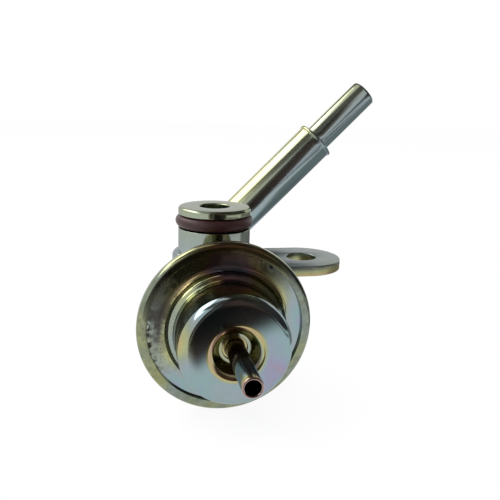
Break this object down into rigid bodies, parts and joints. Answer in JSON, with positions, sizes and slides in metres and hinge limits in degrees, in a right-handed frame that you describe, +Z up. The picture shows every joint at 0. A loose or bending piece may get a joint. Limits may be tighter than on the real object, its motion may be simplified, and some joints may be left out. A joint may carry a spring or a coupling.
{
  "type": "fuel pressure regulator",
  "caption": "Fuel pressure regulator with a crimped diaphragm can, vacuum nipple, O-ring inlet spigot, bolt bracket and bent return tube.",
  "frame": {"origin": "on the inlet axis at the top face of the bracket", "axes": "+Z up the inlet spigot, +X towards the bolt hole, -Y along the vacuum nipple"},
  "size_m": [0.0724, 0.0925, 0.0724],
  "materials": {
    "zinc_can": "yellow-iridescent passivated zinc plate, glossy",
    "zinc_turned": "yellow-iridescent passivated zinc plate, glossy",
    "steel": "plain machined",
    "seal_rubber": "satin maroon fluoro rubber",
    "diaphragm_rubber": "matt fabric-reinforced rubber"
  },
  "bodies": {
    "regulator": {"spring_cover": "zinc_can", "vacuum_nipple": "zinc_turned", "rear_housing": "zinc_can", "mounting_bracket": "zinc_can", "inlet_port": "zinc_turned", "o_ring": "seal_rubber", "return_tube": "zinc_can", "valve_seat": "steel", "diaphragm": "diaphragm_rubber", "main_spring": "steel"},
    "valve": {"spring_plate": "zinc_turned", "pressure_plate": "steel", "valve_holder": "steel", "holder_washer": "steel", "valve_ball": "steel", "valve_disc": "steel", "ball_spring": "steel", "ball_retainer": "zinc_turned"}
  },
  "joints": [
    {"name": "valve_lift", "type": "slide", "parent": "regulator", "child": "valve", "axis": [0, -1, 0], "range_m": [0, 0.001], "stiffness_N_per_m": 12000, "springref_m": -0.015, "deforming": ["main_spring", "diaphragm"]}
  ]
}
